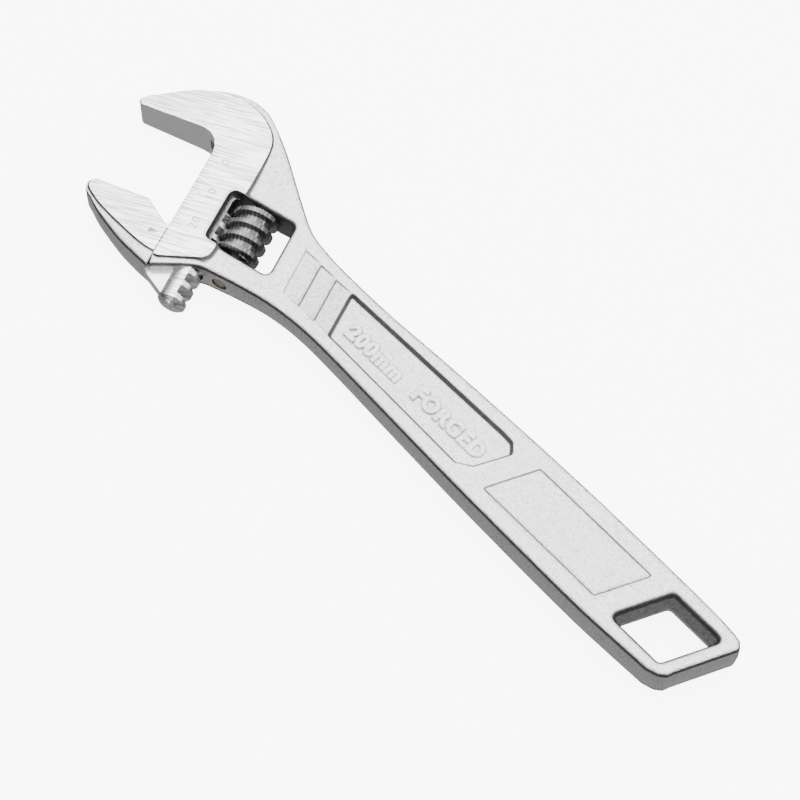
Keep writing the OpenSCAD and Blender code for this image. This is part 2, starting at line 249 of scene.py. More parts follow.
HANG_HOLE = even(softened(slanted(HOLE_NEAR, HOLE_NEAR + HOLE_LONG, HOLE_HALF_W), 1.4), 0.5)
RECESS = even(softened([(50.8, 6.3), (104.5, 7.2), (107.9, 7.0), (110.3, 4.6), (cross_line(99.9, -4.6), -4.6),
                        (102.4, -7.1), (55.9, -6.2)], 0.8), 0.5)
LABEL = even(softened(slanted(106.1, 140.85, 6.8), 0.5), 0.6)


def ramp_panel(k):
    """One of the ramps between head and recess, from its deep end to its shallow end."""
    near = RAMP_U + k * RAMP_PITCH
    sides = []
    for u, across in ((near, 6.05), (near + RAMP_PITCH, 6.2), (near + RAMP_PITCH, -6.1), (near, -5.95)):
        v = (u * SIN_HEAD - across) / COS_HEAD
        sides.append((u, v))
    return even(from_head(sides), 0.5)


RAMPS = [ramp_panel(k) for k in range(RAMP_COUNT)]


# ---- heights ------------------------------------------------------------------------------------
FORGED_SIDE = curve([(-45, BODY_HALF), (-10, BODY_HALF), (12, BODY_HALF), (26, BODY_HALF - 0.5),
                     (42, BODY_HALF - 0.95), (60, BODY_HALF - 0.55), (90, BODY_HALF - 0.15),
                     (125, BODY_HALF + 0.25), (150, BODY_HALF + 0.35), (185, BODY_HALF + 0.4)])


def smooth(t):
    """0 to 1 with soft ends."""
    t = np.clip(t, 0, 1)
    return t * t * (3 - 2 * t)


def jaw_taper(places):
    """Loss of half thickness towards the jaw tips."""
    u = to_head(places)[:, 0]
    return TIP_TAPER * np.clip((TAPER_START - u) / (TAPER_START - TIP_U + 1), 0, 1)


def cheek_slope(places):
    """Width of the step round the ground cheek: wide beside the worm window, narrow elsewhere."""
    u, v = to_head(places).T
    return 0.55 + 0.85 * smooth((u - 10) / 3) * smooth((v + 15) / 10)


def step_down(places, cheek):
    """0 on the ground cheek, 1 on the forging below it."""
    out = np.clip(-depth_inside(places, cheek) / cheek_slope(places), 0, 1)
    return np.sin(out * math.pi / 2)


def sunk(places, loop, out=0.2, into=0.35):
    """0 outside a pocket, 1 on its floor."""
    return smooth((depth_inside(places, loop) + out) / (out + into))


def on_step(share):
    """1 on a step's wall, 0 above and below it."""
    return np.clip(4 * share * (1 - share), 0, 1) ** 0.3


def ramp_drop(places):
    """Depth of the ramps, and their painted shade: how far each place is on one of their edges, and a little on
    their floors.
    """
    u = to_head(places)[:, 0]
    drop, edge = np.zeros(len(places)), np.zeros(len(places))
    for k, panel in enumerate(RAMPS):
        rise = np.clip((u - RAMP_U - k * RAMP_PITCH) / RAMP_PITCH, 0, 1)
        floor = RAMP_DEPTH + (RAMP_SHALLOW - RAMP_DEPTH) * rise
        share = sunk(places, panel, 0.12, 0.22)
        drop = np.maximum(drop, floor * share)
        # painted shade: strong on the ramps' walls, slight on their floors, more towards the deep end
        ramp_shade = np.maximum(on_step(share) * (1 - 0.5 * rise), FLOOR_SHADE * share * (2 - rise))
        edge = np.maximum(edge, ramp_shade)
    return drop, edge


def handle_height(places):
    """Half thickness of the handle and fixed jaw, and painted shade: how far each place is on a wall or a step,
    and a little on the floors of the recess, label and ramps.
    """
    forged = np.interp(places[:, 0], *FORGED_SIDE.T) - jaw_taper(places)
    low = step_down(places, HANDLE_CHEEK)
    ground = HEAD_HALF - jaw_taper(places)
    height = ground + (forged - ground) * low
    # painted shade: on the step round the ground cheek, then on the pocket walls and floors
    painted_shade = on_step(low)
    for loop, depth, out, into in ((RECESS, RECESS_DEPTH, 0.3, 0.75), (LABEL, LABEL_DEPTH, 0.3, 0.35)):
        share = sunk(places, loop, out, into)
        height = height - depth * share
        painted_shade = np.maximum(painted_shade, np.maximum(on_step(share), FLOOR_SHADE * share))
    drop, edge = ramp_drop(places)
    return height - drop, np.maximum(painted_shade, edge)


def jaw_height(places):
    """The same for the sliding jaw."""
    low = step_down(places, JAW_CHEEK)
    height = HEAD_HALF - jaw_taper(places) - CHEEK_RISE * low
    # painted shade on the step round the ground cheek
    return height, on_step(low)


def edge_round(places, cheek):
    """Edge radius: small where the ground cheek meets the edge, larger on the forging."""
    gap = -depth_inside(places, cheek)
    return GROUND_ROUND + (FORGED_ROUND - GROUND_ROUND) * smooth((gap - 0.2) / 2.2)


# ---- plates: an outline with holes, both faces in relief, walls between them --------------------
ROUND_STEPS = (0.134, 0.5, 1.0)                 # shares of the edge radius where a rounding has points
WALL_STEPS = (0.2, 0.45, 0.7, 1.0)              # shares of the way from an edge to the middle plane
WALL_SHADE = (0.3, 0.9, 0.55)                   # painted shade on the outside wall, window wall, hang-hole wall
HOLE_SHADE, HOLE_SHADE_WIDTH = 1.1, 1.4         # dark rim round the holes
EDGE_SHADE, EDGE_SHADE_WIDTH = 0.9, 0.5         # dark line along the forging's outer edge


def chains(points, keep):
    """The kept points' place numbers and the links between neighbours that are both kept."""
    return [(k, (k + 1) % len(points)) for k in range(len(points)) if keep[k] and keep[(k + 1) % len(points)]]


def plate(name, outline, holes, cheek, features, height, wall, lattice=0.85, wave=0.0):
    """A closed mesh in handle places. features are outlines whose lines the mesh follows; height gives the
    half thickness and the painted shade of places; wall moves an edge point on its way to the middle plane."""
    rims = [(outline, 1.0)] + [(hole, -1.0) for hole in holes]

    def clearance(places):
        return np.min([side * depth_inside(places, rim) for rim, side in rims], axis=0)

    points, links = [], []

    def add(run, keep):
        base = len(points)
        number = np.cumsum(keep) - 1 + base
        points.extend(run[keep])
        links.extend((number[a], number[b]) for a, b in chains(run, keep))

    for rim, side in rims:
        add(rim, np.ones(len(rim), bool))
        radius = edge_round(rim, cheek)
        for share in ROUND_STEPS:
            run = rim + side * inward(rim) * (share * radius)[:, None]
            add(run, abs(clearance(run) - share * radius) < 0.03 + 0.05 * radius)
    for loop, offsets in features:
        for offset in offsets:
            reach = offset(loop) if callable(offset) else np.full(len(loop), offset)
            run = loop - inward(loop) * reach[:, None]
            close = abs(-depth_inside(run, loop) - reach) < 0.05
            add(run, (clearance(run) > 1.15 * edge_round(run, cheek)) & close)
    tree = kdtree.KDTree(len(points))
    for k, p in enumerate(points):
        tree.insert((p[0], p[1], 0), k)
    tree.balance()
    low, high = outline.min(0), outline.max(0)
    row_height = lattice * math.sqrt(3) / 2
    mesh_points = np.array([
        (x, y) for r, y in enumerate(np.arange(low[1], high[1], row_height))
        for x in np.arange(low[0] + (r % 2) * lattice / 2, high[0], lattice)])
    mesh_points = mesh_points[clearance(mesh_points) > 0.4]
    points.extend(p for p in mesh_points if tree.find((p[0], p[1], 0))[2] > 0.55 * lattice)
    flat = delaunay_2d_cdt([Vector(p) for p in points], links, [], 0, 1e-5, False)
    places = np.array([tuple(p) for p in flat[0]])
    triangles = np.array(flat[2])
    corners = places[triangles]
    sides = corners[:, 1:] - corners[:, :1]
    area = sides[:, 0, 0] * sides[:, 1, 1] - sides[:, 0, 1] * sides[:, 1, 0]
    kept = (clearance(corners.mean(1)) > 0) & (abs(area) > 1e-7)
    triangles, area = triangles[kept], area[kept]
    triangles[area < 0] = triangles[area < 0][:, ::-1]
    used, triangles = np.unique(triangles, return_inverse=True)
    places, triangles = places[used], triangles.reshape(-1, 3)

    half, painted_shade = height(places)
    for hole in holes:
        painted_shade = np.maximum(painted_shade, HOLE_SHADE * (1 - smooth(-depth_inside(places, hole) / HOLE_SHADE_WIDTH)))
    radius = edge_round(places, cheek)
    rim_shade = 1 - smooth(depth_inside(places, outline) / EDGE_SHADE_WIDTH)
    painted_shade = np.maximum(painted_shade, EDGE_SHADE * rim_shade * (radius > 2 * GROUND_ROUND))
    depth = np.clip(clearance(places), 0, radius)
    half = half - radius + np.sqrt(np.maximum(radius**2 - (radius - depth) ** 2, 0))
    if wave:
        forged = np.clip(-depth_inside(places, cheek) / 2, 0, 1)
        ripple = np.array([noise.noise(Vector((p[0] / 7, p[1] / 5, 3.1))) for p in places])
        half = half + wave * ripple * forged

    directed = {(a, b) for t in triangles.tolist() for a, b in ((t[0], t[1]), (t[1], t[2]), (t[2], t[0]))}
    rim_edges = [(a, b) for a, b in directed if (b, a) not in directed]
    after = dict(rim_edges)
    before = {b: a for a, b in rim_edges}
    rim = sorted(after)
    spot = {v: k for k, v in enumerate(rim)}
    here = places[rim]
    out = np.zeros((len(rim), 2))
    for v, k in spot.items():
        for a, b in ((before[v], v), (v, after[v])):
            way = places[b] - places[a]
            out[k] += np.array((way[1], -way[0])) / np.linalg.norm(way)
    out /= np.linalg.norm(out, axis=1)[:, None]
    which = np.argmin([abs(depth_inside(here, r)) for r, _ in rims], axis=0)

    count = len(places)
    top = np.column_stack((places, half))
    bottom = np.column_stack((places, -half))
    layers = []
    for share in WALL_STEPS:
        moved = wall(here, out, which, share)
        layers.append(np.column_stack((moved, half[rim] * (1 - share))))
    under = [layer * (1, 1, -1) for layer in layers[-2::-1]]
    vertices = np.vstack([top, bottom] + layers + under)
    # painted shade on the walls, one level for each kind of rim
    painted_shades = np.concatenate([painted_shade, painted_shade] + [np.take(WALL_SHADE, which)] * (len(layers) + len(under)))
    rings = len(layers) + len(under)
    stack = [np.array(rim)] + [2 * count + k * len(rim) + np.arange(len(rim)) for k in range(rings)]
    stack.append(np.array(rim) + count)
    faces = [tuple(t) for t in triangles.tolist()] + [(t[2] + count, t[1] + count, t[0] + count)
                                                      for t in triangles.tolist()]
    centre = places[triangles].mean(1)
    ground = depth_inside(centre, cheek) > 0
    kinds = [int(g) for g in ground] * 2
    for upper, lower in zip(stack, stack[1:]):
        for a, b in rim_edges:
            p, q = spot[a], spot[b]
            faces.append((int(upper[q]), int(upper[p]), int(lower[p]), int(lower[q])))
    edge_radius = edge_round(here, cheek)
    sharp = edge_radius < 1.5 * GROUND_ROUND
    wall_kinds = [2 if which[spot[a]] == 0 and (sharp[spot[a]] or sharp[spot[b]]) else 0
                  for a, b in rim_edges]
    kinds += wall_kinds * (len(stack) - 1)
    mesh = bpy.data.meshes.new(name)
    mesh.from_pydata((vertices * MM).tolist(), [], faces)
    mesh.polygons.foreach_set("material_index", kinds)
    mesh.attributes.new("painted_shade", "FLOAT", "POINT").data.foreach_set("value", painted_shades)
    mesh.update()
    mesh.transform(Matrix.Translation(THROAT * MM))
    mesh.transform(Matrix.Translation((0, 0, HEAD_HALF * MM - THROAT.z * MM)))
    return mesh


# ---- node trees -------------------------------------------------------------------------------
class Value:
    """A node tree's output that can be used in sums."""

    def __init__(self, tree, socket):
        self.tree, self.socket = tree, socket

    def math(self, operation, *others):
        node = self.tree.nodes.new("ShaderNodeMath")
        node.operation = operation
        for socket, value in zip(node.inputs, (self, *others)):
            feed(self.tree, socket, value)
        return Value(self.tree, node.outputs[0])

    def __add__(self, other):
        return self.math("ADD", other)

    def __sub__(self, other):
        return self.math("SUBTRACT", other)

    def __mul__(self, other):
        return self.math("MULTIPLY", other)

    def __truediv__(self, other):
        return self.math("DIVIDE", other)

    def ease(self, start, end):
        """0 below start, 1 above end, soft between."""
        node = self.tree.nodes.new("ShaderNodeMapRange")
        node.interpolation_type = "SMOOTHSTEP"
        for name, value in (("Value", self), ("From Min", start), ("From Max", end)):
            feed(self.tree, node.inputs[name], value)
        return Value(self.tree, node.outputs["Result"])

    def near(self, period):
        """Signed distance to the nearest multiple of the period."""
        return ((self / period + 0.5).math("FRACT") - 0.5) * period


def feed(tree, socket, value):
    if isinstance(value, Value):
        tree.links.new(value.socket, socket)
    elif isinstance(value, bpy.types.NodeSocket):
        tree.links.new(value, socket)
    else:
        socket.default_value = value


def add(tree, kind, inputs=None, **settings):
    """A node with its settings and inputs filled in."""
    node = tree.nodes.new(kind)
    for name, value in settings.items():
        setattr(node, name, value)
    for name, value in (inputs or {}).items():
        feed(tree, node.inputs[name], value)
    return node


def form_tree(name, sizes):
    """An empty geometry tree with named number inputs, and its values by name."""
    tree = bpy.data.node_groups.new(name, "GeometryNodeTree")
    tree.interface.new_socket("Geometry", in_out="OUTPUT", socket_type="NodeSocketGeometry")
    for key, value in sizes.items():
        kind = "NodeSocketInt" if isinstance(value, int) else "NodeSocketFloat"
        tree.interface.new_socket(key, in_out="INPUT", socket_type=kind)
    group = tree.nodes.new("NodeGroupInput")
    return tree, {key: Value(tree, group.outputs[key]) for key in sizes}


def close_tree(tree, geometry, material):
    """Ends a tree with real geometry in its material."""
    real = add(tree, "GeometryNodeRealizeInstances", {"Geometry": geometry})
    shade = add(tree, "GeometryNodeSetShadeSmooth", {"Geometry": real.outputs[0]})
    paint = add(tree, "GeometryNodeSetMaterial", {"Geometry": shade.outputs[0], "Material": material})
    tree.links.new(paint.outputs[0], tree.nodes.new("NodeGroupOutput").inputs[0])


def frozen(piece):
    """The mesh of a piece with its modifiers applied."""
    graph = bpy.context.evaluated_depsgraph_get()
    return bpy.data.meshes.new_from_object(piece.evaluated_get(graph), depsgraph=graph)


def grown(tree, sizes, place):
    """Runs a geometry tree with its sizes and returns its mesh in place."""
    carrier = bpy.data.objects.new(tree.name, bpy.data.meshes.new(tree.name))
    bpy.context.scene.collection.objects.link(carrier)
    modifier = carrier.modifiers.new("form", "NODES")
    modifier.node_group = tree
    for item in tree.interface.items_tree:
        if item.name in sizes:
            modifier[item.identifier] = sizes[item.name]
    mesh = frozen(carrier)
    carrier.modifiers.remove(modifier)
    bpy.data.objects.remove(carrier)
    mesh.transform(place)
    return mesh


def slide_place(u, v=0.0):
    """Matrix whose X is u, Y is up and Z runs down the slide, for shapes in millimetres round that axis."""
    at = THROAT + OUT * u + DOWN * v
    at.z = HEAD_HALF
    turn = Matrix((OUT, UP, DOWN)).transposed().to_4x4()
    return Matrix.Translation(at * MM) @ turn @ Matrix.Scale(MM, 4)


def face_place(u, v):
    """Matrix for shapes drawn flat on the front cheek: X towards the fixed jaw, Y towards the jaw tips."""
    at = THROAT + OUT * u + DOWN * v
    at.z = 2 * HEAD_HALF
    turned = Matrix((-DOWN, -OUT, UP)).transposed().to_4x4()
    return Matrix.Translation(at * MM) @ turned @ Matrix.Scale(MM, 4)


# ---- finishes -----------------------------------------------------------------------------------
def finish_base(name, **constants):
    """A material, its tree, its shader and Object coordinates in millimetres."""
    material = bpy.data.materials.new(name)
    material.use_nodes = True
    tree = material.node_tree
    shader = tree.nodes["Principled BSDF"]
    for key, value in constants.items():
        shader.inputs[key.replace("_", " ")].default_value = value
    place = add(tree, "ShaderNodeMapping", {
        "Vector": add(tree, "ShaderNodeTexCoord").outputs["Object"], "Scale": (1 / MM,) * 3})
    return material, tree, shader, place.outputs[0]


def grain(tree, place, scale, detail=3.0, rough=0.55, stretch=None, turn=0.0):
    """Noise from 0 to 1. scale is per millimetre; stretch and turn draw it out along a direction."""
    if stretch:
        place = add(tree, "ShaderNodeMapping", {"Vector": place, "Rotation": (0, 0, -turn)}).outputs[0]
        place = add(tree, "ShaderNodeMapping", {"Vector": place, "Scale": stretch}).outputs[0]
    node = add(tree, "ShaderNodeTexNoise", {
        "Vector": place, "Scale": scale, "Detail": detail, "Roughness": rough})
    return Value(tree, node.outputs["Fac"])


def tint(tree, share, low, high):
    """A colour between two, by a share from 0 to 1."""
    node = add(tree, "ShaderNodeMix", data_type="RGBA")
    feed(tree, node.inputs["Factor"], share)
    colours = [s for s in node.inputs if s.type == "RGBA"]
    colours[0].default_value, colours[1].default_value = (*low, 1), (*high, 1)
    return next(s for s in node.outputs if s.type == "RGBA")


def coat(tree, shader, colour, roughness):
    """The shader's colour and roughness."""
    feed(tree, shader.inputs["Base Color"], colour)
    feed(tree, shader.inputs["Roughness"], roughness)


def relief(tree, shader, height, depth):
    """Bump from a height of 0 to 1 that stands for a depth in millimetres."""
    bump = add(tree, "ShaderNodeBump", {"Height": height, "Distance": depth * MM, "Strength": 1.0})
    tree.links.new(bump.outputs[0], shader.inputs["Normal"])


def attribute(tree, name):
    return Value(tree, add(tree, "ShaderNodeAttribute", attribute_name=name).outputs["Fac"])


def forged_chrome():
    """Satin chrome over a shot-blasted forging: pebbled, speckled, with shade painted into its steps and
    corners.
    """
    material, tree, shader, place = finish_base("forged satin chrome", Metallic=1.0)
    pebble = grain(tree, place, 0.75, 2.0)
    fine = grain(tree, place, 2.2, 3.0, 0.75)
    cloud = grain(tree, place, 0.12, 3.0)
    # painted shade from the attribute, broken up by the pebble grain
    painted_shade = (attribute(tree, "painted_shade") * 1.1 + pebble * 0.5 - 0.27).ease(0.0, 1.0)
    texture = pebble.ease(0.35, 0.6) * 0.25 + cloud.ease(0.3, 0.7) * 0.1 + fine.ease(0.36, 0.54) * 0.65
    lightness = (texture * 0.55 + 0.5) * (painted_shade * -0.92 + 1)
    colour = tint(tree, lightness, (0.05, 0.05, 0.05), (1.0, 1.0, 0.985))
    coat(tree, shader, colour, pebble * 0.12 + fine * 0.1 + 0.24)
    relief(tree, shader, pebble * 0.5 + fine * 0.5, 0.35)
    return material


def ground_steel():
    """Chromed cheek ground flat by a belt: long fine scratches one way, some of them dark."""
    material, tree, shader, place = finish_base("ground cheek", Metallic=1.0, Anisotropic=0.3)
    way = math.radians(30)
    fine = grain(tree, place, 1.0, 3.0, 0.6, (0.05, 4.0, 1.0), way)
    broad = grain(tree, place, 1.0, 2.0, 0.5, (0.04, 1.6, 1.0), way)
    mark = grain(tree, place, 1.0, 1.0, 0.5, (0.10, 2.8, 1.0), way)
    dark = mark.ease(0.53, 0.62)
    # painted shade from the attribute darkens the cheek's colour
    painted_shade = attribute(tree, "painted_shade")
    brushed = fine.ease(0.3, 0.55) * 0.5 + broad.ease(0.3, 0.55) * 0.5
    lightness = brushed * (dark * -0.8 + 1) * (painted_shade * -0.85 + 1)
    colour = tint(tree, lightness, (0.36, 0.365, 0.37), (0.97, 0.985, 1.0))
    coat(tree, shader, colour, fine * 0.16 + broad * 0.08 + 0.18)
    relief(tree, shader, fine * 0.6 + broad * 0.4 - dark * 0.5, 0.03)
    return material


def milled_steel():
    """Jaw faces and throat: fine marks square to the faces, a shade darker."""
    material, tree, shader, place = finish_base("milled face", Metallic=1.0)
    fine = grain(tree, place, 1.0, 3.0, 0.6, (3.0, 3.0, 0.35))
    cloud = grain(tree, place, 0.25, 2.0)
    lightness = fine.ease(0.25, 0.75) * 0.5 + cloud * 0.5
    coat(tree, shader, tint(tree, lightness, (0.66, 0.66, 0.67), (0.92, 0.92, 0.93)), fine * 0.14 + 0.2)
    relief(tree, shader, fine, 0.015)
    return material


def shaded_bore_steel():
    """Inside the bores and slots: dull bare steel, darkened with painted shade."""
    material, tree, shader, place = finish_base("shaded bored steel", Metallic=1.0)
    rough = grain(tree, place, 1.6, 4.0)
    colour = tint(tree, rough.ease(0.3, 0.7), (0.13, 0.13, 0.13), (0.34, 0.335, 0.33))
    coat(tree, shader, colour, rough * 0.25 + 0.35)
    relief(tree, shader, rough, 0.05)
    return material


def worm_steel():
    """Dark worm steel, with painted light on its crests and painted shade on the flanks and in the knurl
    notches.
    """
    material, tree, shader, place = finish_base("worm steel", Metallic=1.0)
    fine = grain(tree, place, 3.0, 3.0)
    crest_light_and_shade = (attribute(tree, "crest") * 0.9 + fine * 0.3 - 0.15).ease(0.35, 0.85)
    coat(tree, shader, tint(tree, crest_light_and_shade, (0.17, 0.17, 0.175), (0.56, 0.56, 0.55)), fine * 0.16 + 0.32)
    relief(tree, shader, fine, 0.02)
    return material


def plain_metal(name, low, high, roughness):
    """A small metal part: mottled a little, with a fine grain."""
    material, tree, shader, place = finish_base(name, Metallic=1.0)
    fine = grain(tree, place, 2.0, 3.0)
    coat(tree, shader, tint(tree, fine.ease(0.3, 0.7), low, high), fine * 0.15 + roughness)
    relief(tree, shader, fine, 0.02)
    return material


def etched_mark(name, low, high):
    """Dull marking on the ground cheek, thin and a little broken."""
    material, tree, shader, place = finish_base(name, Metallic=0.35)
    fine = grain(tree, place, 6.0, 2.0)
    coat(tree, shader, tint(tree, fine.ease(0.3, 0.7), low, high), fine * 0.2 + 0.4)
    return material


FORGED, GROUND, MILLED, SHADED_BORE = forged_chrome(), ground_steel(), milled_steel(), shaded_bore_steel()
WORM_METAL = worm_steel()
PIN_METAL = plain_metal("pin steel", (0.36, 0.31, 0.25), (0.55, 0.49, 0.41), 0.3)
SPRING_METAL = plain_metal("spring wire", (0.3, 0.3, 0.3), (0.55, 0.55, 0.55), 0.25)
ETCHED = etched_mark("etched scale", (0.22, 0.22, 0.22), (0.38, 0.38, 0.37))
POINTER_PAINT = etched_mark("pointer enamel", (0.42, 0.26, 0.17), (0.55, 0.36, 0.26))


# ---- cutting and joining ------------------------------------------------------------------------
def new_piece(name, mesh, *materials):
    mesh.name = name
    for material in materials:
        mesh.materials.append(material)
    piece = bpy.data.objects.new(name, mesh)
    bpy.context.scene.collection.objects.link(piece)
    return piece


def stacked(name, loops):
    """A closed mesh through loops with equal numbers of points, capped at both ends."""
    n, last = len(loops[0]), len(loops) - 1
    faces = [tuple(range(n))[::-1], tuple(range(last * n, last * n + n))]
    faces += [(b + k, b + (k + 1) % n, b + (k + 1) % n + n, b + k + n)
              for b in range(0, last * n, n) for k in range(n)]
    mesh = bpy.data.meshes.new(name)
    mesh.from_pydata(np.vstack(loops).tolist(), [], faces)
    return mesh


def rod(name, u, stations, sides=96):
    """A closed round bar along the slide, through stations of radius and v."""
    turn = np.arange(sides) * 2 * math.pi / sides
    ring = np.column_stack((np.cos(turn), np.sin(turn)))
    mesh = stacked(name, [np.column_stack((ring * radius, np.full(sides, v))) for radius, v in stations])
    mesh.transform(slide_place(u))
    return mesh


def slab(outline, low, high):
    """A closed flat plate from a head outline, between two heights over the middle plane."""
    places = from_head(outline)
    if clockwise(places):
        places = places[::-1]
    loops = [np.column_stack((places, np.full(len(places), level))) for level in (low, high)]
    return stacked("slab", [(loop + (THROAT.x, THROAT.y, HEAD_HALF)) * MM for loop in loops])


def combined(piece, tools, operation, material):
    """Cuts the tools out of a piece, or joins them to it, and leaves a plain mesh on it."""
    helpers = []
    for tool in tools:
        helper = new_piece("tool", tool, *([material] if material else []))
        helpers.append(helper)
        modifier = piece.modifiers.new("tool", "BOOLEAN")
        modifier.operation, modifier.solver, modifier.object = operation, "EXACT", helper
        modifier.material_mode = "TRANSFER"
    mesh = frozen(piece)
    piece.modifiers.clear()
    piece.data = mesh
    for helper in helpers:
        bpy.data.objects.remove(helper)


def shade(piece, angle=32):
    """Smooth shading with creases at sharp edges."""
    mesh = piece.data
    mesh.polygons.foreach_set("use_smooth", [True] * len(mesh.polygons))
    mesh.set_sharp_from_angle(angle=math.radians(angle))


def belongs(piece, body, slot, *nodes):
    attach(piece, body)
    if nodes:
        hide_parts(*nodes)


# ---- handle and fixed jaw -----------------------------------------------------------------------
def drafted(here, out, cheek, draft):
    """Edge points moved out by a forging's draft, less where the edge is ground."""
    return here + out * (draft * smooth((edge_round(here, cheek) - 0.2) / 0.5))[:, None]


def handle_wall(here, out, which, share):
    """Forging draft outside, the window's sloping ends and the hang hole's drafted walls."""
    moved = drafted(here, out, HANDLE_CHEEK, 0.22 * share)
    u, v = to_head(here).T
    near, far = WINDOW_U
    left, right = 2.3 * smooth(share / 0.7), 0.8 * share
    inside = near + left + (u - near) * (far - near - left - right) / (far - near)
    window = from_head(np.column_stack((inside, v)))
    middle = HANG_HOLE.mean(0)
    hole = middle + (here - middle) * (1 - 0.15 * share)
    return np.where((which == 1)[:, None], window, np.where((which == 2)[:, None], hole, moved))


def build_handle():
    features = [(HANDLE_CHEEK, (0.0, lambda p: cheek_slope(p) * 0.12, lambda p: cheek_slope(p) * 0.5,
                                lambda p: cheek_slope(p))),
                (RECESS, (0.3, 0.05, -0.22, -0.5, -0.75)), (LABEL, (0.3, 0.0, -0.35))]
    features += [(panel, (0.12, -0.22)) for panel in RAMPS]
    mesh = plate("handle", HANDLE_OUTLINE, [WINDOW, HANG_HOLE], HANDLE_CHEEK, features, handle_height,
                 handle_wall, wave=0.05)
    handle = new_piece("handle", mesh, FORGED, GROUND, MILLED, SHADED_BORE)
    slot_half = WEB_T / 2 + WEB_CLEAR
    tools = [
        rod("foot bore", FOOT_U, [(BORE_R, BORE_TOP), (BORE_R, CUT_END)]),
        slab([(-4, WEB_SLOT_TOP), (FOOT_U, WEB_SLOT_TOP), (FOOT_U, CUT_END), (-4, CUT_END)],
             -slot_half, slot_half),
        rod("pin hole", WORM_U, [(PIN_HOLE_R, PIN_HOLE_TOP), (PIN_HOLE_R, PIN_HOLE_END)], 48),
    ]
    combined(handle, tools, "DIFFERENCE", SHADED_BORE)
    shade(handle)
    belongs(handle, "body", "handle_body", "handle_body")


# ---- sliding jaw --------------------------------------------------------------------------------
def jaw_wall(here, out, which, share):
    return drafted(here, out, JAW_CHEEK, 0.15 * share)


FOOT_SIZES = {"Radius": FOOT_R, "Length": FOOT_END - FOOT_TOP, "Chamfer": 0.6, "Pitch": LEAD,
              "First gap": CREST_V + LEAD / 2 - SLOP / 2 - FOOT_TOP, "Gap half width": 1.06, "Flank": 0.42,
              "Floor": WORM_U - WORM_R - RACK_DEPTH - FOOT_U,
              "Lean": LEAD / (2 * math.pi * (WORM_R - THREAD_DEPTH / 2)), "Around": 128, "Rows": 300}


def foot_tree():
    """A round bar with a rack: each gap is a flat-floored groove across one side."""
    tree, size = form_tree("toothed foot", FOOT_SIZES)
    grid = unit_grid(tree, size["Around"] + 1, size["Rows"])
    x, y = grid_sides(tree)
    turn = x * (2 * math.pi)
    along, first, last = along_rows(size, y)
    from_end = along.math("MINIMUM", size["Length"] - along)
    bar = size["Radius"] - (from_end / size["Chamfer"] * -1 + 1).math("MAXIMUM", 0.0) * size["Chamfer"]
    across = turn.math("COSINE").math("MAXIMUM", 0.05)
    lean = turn.math("SINE") * size["Radius"] * size["Lean"]
    off = (along + lean - size["First gap"]).near(size["Pitch"]).math("ABSOLUTE")
    wall = off.ease(size["Gap half width"], size["Gap half width"] + size["Flank"])
    floor = size["Floor"] + wall * (size["Radius"] - size["Floor"] + 0.3)
    radius = bar.math("MINIMUM", floor / across) * ((first + last) * -1 + 1)
    wrapped = turned(tree, grid, turn, radius, along)
    whole = add(tree, "GeometryNodeMergeByDistance", {"Geometry": wrapped.outputs[0], "Distance": 1e-4})
    close_tree(tree, whole.outputs[0], GROUND)
    return tree


def unit_grid(tree, columns, rows):
    return add(tree, "GeometryNodeMeshGrid", {
        "Size X": 1.0, "Size Y": 1.0, "Vertices X": columns, "Vertices Y": rows})


def grid_sides(tree):
    """A unit grid's two directions, each from 0 to 1."""
    sides = add(tree, "ShaderNodeSeparateXYZ", {"Vector": add(tree, "GeometryNodeInputPosition").outputs[0]})
    return Value(tree, sides.outputs["X"]) + 0.5, Value(tree, sides.outputs["Y"]) + 0.5


def along_rows(size, y):
    """How far along the shape each row lies, and marks for the first and last rows, which close its ends."""
    row = y * (size["Rows"] - 1)
    along = ((row - 1) / (size["Rows"] - 3)).math("MAXIMUM", 0.0).math("MINIMUM", 1.0) * size["Length"]
    return along, row.math("LESS_THAN", 0.5), row.math("GREATER_THAN", size["Rows"] - 1.5)


def turned(tree, grid, turn, radius, along):
    """A grid wrapped round an axis at the given radius."""
    place = add(tree, "ShaderNodeCombineXYZ", {
        "X": radius * turn.math("COSINE"), "Y": radius * turn.math("SINE"), "Z": along})
    return add(tree, "GeometryNodeSetPosition", {"Geometry": grid.outputs[0], "Position": place.outputs[0]})


def build_jaw():
    features = [(JAW_CHEEK, (0.0, lambda p: cheek_slope(p) * 0.35, lambda p: cheek_slope(p)))]
    mesh = plate("jaw", JAW_OUTLINE, [], JAW_CHEEK, features, jaw_height, jaw_wall, lattice=0.7, wave=0.04)
    jaw = new_piece("sliding_jaw", mesh, FORGED, GROUND, MILLED)
    web = slab(off_face((-5, 7), (-4.5, 3.9), (0.2, 1.7), (FOOT_U - 3, 1.7), (FOOT_U + 0.2, 22),
                        (FOOT_U + 0.2, 23.4), (0.3, 18.1), (-3, 15)), -WEB_T / 2, WEB_T / 2)
    foot = grown(foot_tree(), FOOT_SIZES, slide_place(FOOT_U, FOOT_TOP))
    combined(jaw, [web], "UNION", MILLED)
    combined(jaw, [foot], "UNION", None)
    shade(jaw)
    belongs(jaw, "jaw", "movable_jaw", "movable_jaw")


# ---- worm, pin and spring -----------------------------------------------------------------------
WORM_SIZES = {"Radius": WORM_R, "Thread depth": THREAD_DEPTH, "Pitch": LEAD, "Length": WORM_BOTTOM - WORM_TOP,
              "First crest": CREST_V - WORM_TOP, "Crest half width": 0.6, "Flank": 0.55,
              "Knurl depth": 0.04, "Chamfer": 0.5, "Bore": PIN_R + PIN_CLEAR, "Pocket": POCKET_R,
              "Pocket depth": POCKET_DEPTH, "Knurl teeth": 90, "Around": 450, "Rows": 118}


